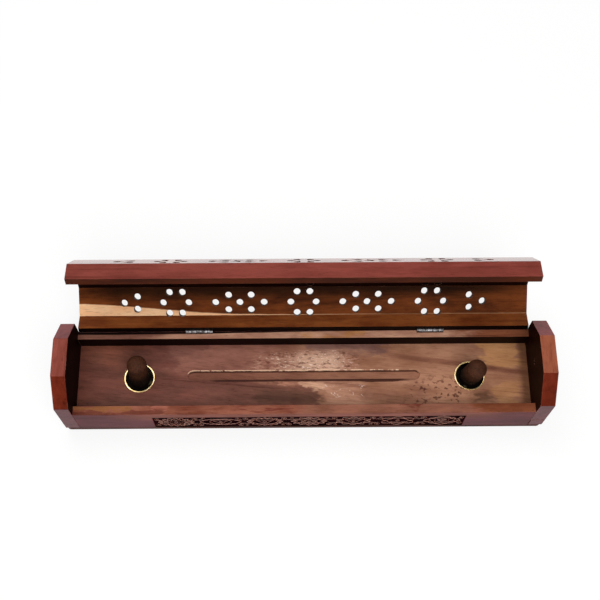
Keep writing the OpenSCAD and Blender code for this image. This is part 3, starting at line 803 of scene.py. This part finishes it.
def add_line(mesh, points, closed, width, height):
    """Raised line with sloping sides along points (x, z) in mm, as one closed solid."""
    count = len(points)
    low, high = (GROUND_Y + SINK) * MM, (GROUND_Y - height) * MM
    sections = []
    for i in range(count):
        here = Vector(points[i])
        back = Vector(points[i - 1]) if closed or i else here
        ahead = Vector(points[(i + 1) % count]) if closed or i < count - 1 else here
        first, second = here - back, ahead - here
        if first.length < TINY:
            first = second
        if second.length < TINY:
            second = first
        first.normalize()
        second.normalize()
        along = first + second
        along = along.normalized() if along.length > TINY else second
        side = Vector((-along.y, along.x))
        stretch = 1 / max(along.dot(first), 1 / MITRE_LIMIT)
        foot = side * (width / 2 + FOOT_SPREAD) * stretch
        crest = side * max(width / 2 - CREST_TAPER, LEAST_CREST) * stretch
        corners = ((here - foot, low), (here - crest, high), (here + crest, high), (here + foot, low))
        sections.append([mesh.verts.new((p.x * MM, y, (p.y + FRIEZE_CENTRE_Z) * MM)) for p, y in corners])
    for i in range(count if closed else count - 1):
        first, second = sections[i], sections[(i + 1) % count]
        for j in range(4):
            mesh.faces.new((first[j], first[(j + 1) % 4], second[(j + 1) % 4], second[j]))
    if not closed:
        mesh.faces.new(sections[0])
        mesh.faces.new(list(reversed(sections[-1])))


def object_from(mesh, name, material):
    data = bpy.data.meshes.new(name)
    mesh.to_mesh(data)
    mesh.free()
    data.materials.append(material)
    made = bpy.data.objects.new(name, data)
    bpy.context.scene.collection.objects.link(made)
    return made


def build_frieze():
    """Medallions and tendrils in one piece. Lines that cross differ in height, so that no crests coincide."""
    mesh = bmesh.new()
    for number, outlines in enumerate(MEDALLIONS):
        centre = FRIEZE_CENTRE_X + (number - MIDDLE) * FRIEZE_PITCH
        for layer, (outline, closed, width) in enumerate(outlines):
            points = [(centre + u * MEDALLION[0], v * MEDALLION[1]) for u, v in outline]
            add_line(mesh, points, closed, LINE_W * width, LINE_H - LAYER_STEP * (layer % 3))
    for number, points in enumerate(tendrils()):
        add_line(mesh, points, OPEN, TENDRIL_W, TENDRIL_H - TENDRIL_STEP * (number % 2))
    bmesh.ops.recalc_face_normals(mesh, faces=mesh.faces)
    piece = object_from(mesh, "frieze_lines", carved_lines("frieze_line_wood"))
    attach(piece, "base")


build_frieze()

# ---------------------------------------------------------------- studio

FLOOR_HALF = 6.0                 # metres
FLOOR_Z = -0.02 * MM
NEAR_GLOW = 0.80                 # of the floor round the box; it is 1 far away
SHADOW_GREY = 0.22               # diffuse part that catches the box's shadow
BOUNCE_GREY = 0.82               # the floor as the box's own light meets it
DOME_COLOUR, DOME_GLOW = (1.0, 0.99, 0.98, 1), 0.25
LAMP_SIZE = 0.8                  # metres
LAMP_TARGET = (0, 0, 0.03)


def floor_material():
    """White to the camera apart from a soft shadow, and plain pale grey to all other light."""
    s = Shader("studio_floor")
    rays = s.node("ShaderNodeLightPath")
    seen = s.maths("MAXIMUM", rays.outputs["Is Camera Ray"], rays.outputs["Is Glossy Ray"])
    seen = s.maths("MAXIMUM", seen, rays.outputs["Is Transmission Ray"])
    x, y, _ = s.axes()
    far = s.span(s.length(x, y), 0.25, 0.9)
    glow = s.plus(NEAR_GLOW, s.times(far, 1.0 - NEAR_GLOW))
    white = s.node("ShaderNodeEmission", {"Color": (1, 1, 1, 1), "Strength": glow})
    catcher = s.mix(far, (SHADOW_GREY, SHADOW_GREY, SHADOW_GREY, 1), (0.0, 0.0, 0.0, 1))
    shadowed = s.node("ShaderNodeBsdfDiffuse", {"Color": catcher})
    both = s.node("ShaderNodeAddShader")
    s.put(both.inputs[0], white.outputs[0])
    s.put(both.inputs[1], shadowed.outputs[0])
    plain = s.node("ShaderNodeBsdfDiffuse", {"Color": (BOUNCE_GREY, BOUNCE_GREY, BOUNCE_GREY, 1)})
    choose = s.node("ShaderNodeMixShader", {"Fac": seen})
    s.put(choose.inputs[1], plain.outputs[0])
    s.put(choose.inputs[2], both.outputs[0])
    s.put(s.output.inputs["Surface"], choose.outputs[0])
    return s.material


def build_floor():
    mesh = bmesh.new()
    bmesh.ops.create_grid(mesh, x_segments=1, y_segments=1, size=FLOOR_HALF)
    floor = object_from(mesh, "studio_floor", floor_material())
    floor.location.z = FLOOR_Z


def build_world():
    """A dim, even dome of light that the camera sees as plain white."""
    world = bpy.data.worlds.new("studio_world")
    bpy.context.scene.world = world
    world.use_nodes = True
    nodes, links = world.node_tree.nodes, world.node_tree.links
    nodes.clear()
    rays = nodes.new("ShaderNodeLightPath")
    either = nodes.new("ShaderNodeMath")
    either.operation = "MAXIMUM"
    links.new(rays.outputs["Is Camera Ray"], either.inputs[0])
    links.new(rays.outputs["Is Transmission Ray"], either.inputs[1])
    dome = nodes.new("ShaderNodeBackground")
    dome.inputs["Color"].default_value = DOME_COLOUR
    dome.inputs["Strength"].default_value = DOME_GLOW
    white = nodes.new("ShaderNodeBackground")
    white.inputs["Color"].default_value = (1, 1, 1, 1)
    white.inputs["Strength"].default_value = 1.0
    choose = nodes.new("ShaderNodeMixShader")
    links.new(either.outputs[0], choose.inputs["Fac"])
    links.new(dome.outputs[0], choose.inputs[1])
    links.new(white.outputs[0], choose.inputs[2])
    out = nodes.new("ShaderNodeOutputWorld")
    links.new(choose.outputs[0], out.inputs["Surface"])


def add_lamp(name, spot, watts):
    """Square lamp at spot, in metres, turned to the box."""
    lamp = bpy.data.lights.new(name, "AREA")
    lamp.shape = "SQUARE"
    lamp.size = LAMP_SIZE
    lamp.energy = watts
    holder = bpy.data.objects.new(name, lamp)
    holder.location = spot
    holder.rotation_euler = (Vector(LAMP_TARGET) - Vector(spot)).to_track_quat("-Z", "Y").to_euler()
    bpy.context.scene.collection.objects.link(holder)


def build_camera():
    """The camera's place and turn, solved from the box's own edges."""
    place = Vector((-8.72, -218.0, 666.08)) * MM
    yaw, pitch, roll = (math.radians(a) for a in (-1.407, 67.244, 0.939))
    right = Vector((math.cos(yaw), math.sin(yaw), 0))
    ahead = Vector((-math.sin(yaw) * math.cos(pitch), math.cos(yaw) * math.cos(pitch), -math.sin(pitch)))
    upward = right.cross(ahead)
    rolled_right = math.cos(roll) * right + math.sin(roll) * upward
    rolled_up = -math.sin(roll) * right + math.cos(roll) * upward
    turn = Matrix((rolled_right, rolled_up, -ahead)).transposed()
    lens = bpy.data.cameras.new("camera")
    lens.lens = 64.0
    lens.sensor_width = 36.0
    lens.clip_start = 0.01
    camera = bpy.data.objects.new("camera", lens)
    camera.matrix_world = Matrix.Translation(place) @ turn.to_4x4()
    bpy.context.scene.collection.objects.link(camera)
    bpy.context.scene.camera = camera


build_floor()
build_world()
build_camera()
add_lamp("key_lamp", (-0.25, 0.48, 1.15), 6.0)
add_lamp("front_lamp", (0.15, -0.62, 1.10), 9.6)
bpy.context.scene.view_settings.view_transform = "Standard"
